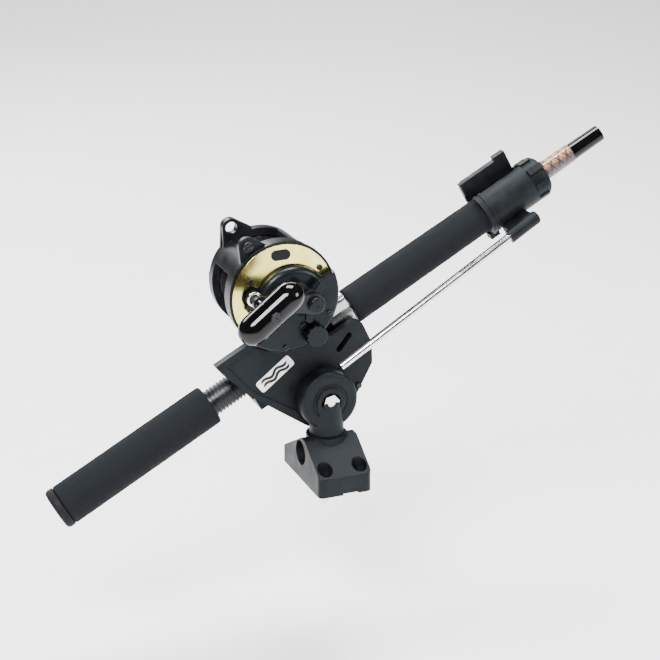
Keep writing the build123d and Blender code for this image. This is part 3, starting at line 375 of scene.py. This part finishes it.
# ------------------------------------------------------------------ badge mark: a plain double wave
def ribbon(points, width, thick):
    """A flat strip through points in x and z, its face towards -y."""
    bm = bmesh.new()
    left, right, back_l, back_r = [], [], [], []
    for k, (x, z) in enumerate(points):
        px, pz = points[max(k - 1, 0)]
        qx, qz = points[min(k + 1, len(points) - 1)]
        dx, dz = qx - px, qz - pz
        size = math.hypot(dx, dz)
        ends = min(1.0, 0.25 + min(k, len(points) - 1 - k) / 5)  # narrows the strip at both ends
        nx, nz = -dz / size * width / 2 * ends, dx / size * width / 2 * ends
        left.append(bm.verts.new((x + nx, -thick, z + nz)))
        right.append(bm.verts.new((x - nx, -thick, z - nz)))
        back_l.append(bm.verts.new((x + nx, 0, z + nz)))
        back_r.append(bm.verts.new((x - nx, 0, z - nz)))
    for k in range(len(points) - 1):
        bm.faces.new((left[k], left[k + 1], right[k + 1], right[k]))
        bm.faces.new((back_l[k], back_r[k], back_r[k + 1], back_l[k + 1]))
        bm.faces.new((left[k], back_l[k], back_l[k + 1], left[k + 1]))
        bm.faces.new((right[k], right[k + 1], back_r[k + 1], back_r[k]))
    bm.faces.new((left[0], right[0], back_r[0], back_l[0]))
    bm.faces.new((left[-1], back_l[-1], back_r[-1], right[-1]))
    return bm


BADGE_TURN = math.radians(9.7)
BADGE_PLACE = RIG @ Matrix.Translation((-0.0221, -0.02302, 0.0015)) @ Matrix.Rotation(-BADGE_TURN, 4, "Y")
WAVE_LENGTH, WAVE_HEIGHT, WAVE_LIFT = 0.025, 0.0012, 0.0017
WAVE_WIDTH, WAVE_THICKNESS = 0.0021, 0.00012
WAVE_STEPS, WAVE_PERIOD = 48, 24
for index, lift in enumerate((WAVE_LIFT, -WAVE_LIFT)):
    wave = []
    for k in range(WAVE_STEPS + 1):
        rise = WAVE_HEIGHT * math.sin(2 * math.pi * k / WAVE_PERIOD)
        wave.append((-WAVE_LENGTH / 2 + WAVE_LENGTH * k / WAVE_STEPS, lift + rise))
    add_mesh("badge_wave_%d" % index, ribbon(wave, WAVE_WIDTH, WAVE_THICKNESS), BADGE_INK,
             "holder", BADGE_PLACE)


# ------------------------------------------------------------------ floor, light and camera
FLOOR_Z = -0.14  # under the butt when the rod tips right up
FLOOR_HALF = 6.0


def stage_floor():
    """A wide pale floor."""
    bm = bmesh.new()
    bmesh.ops.create_grid(bm, x_segments=1, y_segments=1, size=FLOOR_HALF)
    mesh = bpy.data.meshes.new("floor")
    bm.to_mesh(mesh)
    bm.free()
    floor = bpy.data.objects.new("floor", mesh)
    bpy.context.scene.collection.objects.link(floor)
    floor.location = (0, 0, FLOOR_Z)
    paint = plain("floor_paint", (0.93, 0.93, 0.93), (0.95, 0.95, 0.95), (0.7, 0.8), 20, edge=0.0)
    mesh.materials.append(paint)


def area_light(name, place, target, size, power):
    """A rectangular light at a place, turned to a target; power in watts."""
    data = bpy.data.lights.new(name, "AREA")
    data.shape = "RECTANGLE"
    data.size, data.size_y = size
    data.energy = power
    lamp = bpy.data.objects.new(name, data)
    bpy.context.scene.collection.objects.link(lamp)
    lamp.location = place
    lamp.rotation_euler = (Vector(target) - Vector(place)).to_track_quat("-Z", "Y").to_euler()


stage_floor()
area_light("key", (-0.9, -1.1, 1.5), (0, 0, 0.12), (0.9, 0.5), 95)
area_light("top", (0.2, 0.3, 2.2), (0, 0, 0.1), (1.2, 0.8), 114)
area_light("fill", (1.6, -1.6, 1.0), (0, 0, 0.12), (0.8, 0.8), 46)
area_light("back", (-0.5, 1.8, 1.2), (0, 0, 0.12), (1.6, 0.6), 50)
area_light("backdrop", (0.9, 3.2, 2.2), (0.9, 3.4, 0), (3.0, 1.6), 110)

world = bpy.data.worlds.new("studio")
world.use_nodes = True
background = world.node_tree.nodes["Background"]
background.inputs["Color"].default_value = (1, 1, 1, 1)
background.inputs["Strength"].default_value = 0.07
bpy.context.scene.world = world

AZIMUTH, ELEVATION, DISTANCE = math.radians(-22), math.radians(20), 1.275
LOOK_AT = Vector((0.015, 0.030, 0.1035))
level = math.cos(ELEVATION)
toward = Vector((math.sin(AZIMUTH) * level, -math.cos(AZIMUTH) * level, math.sin(ELEVATION)))
camera_data = bpy.data.cameras.new("camera")
camera_data.sensor_width = 36.0
camera_data.lens = 92.7
camera = bpy.data.objects.new("camera", camera_data)
bpy.context.scene.collection.objects.link(camera)
camera.location = LOOK_AT + toward * DISTANCE
camera.rotation_euler = (-toward).to_track_quat("-Z", "Y").to_euler()
bpy.context.scene.camera = camera
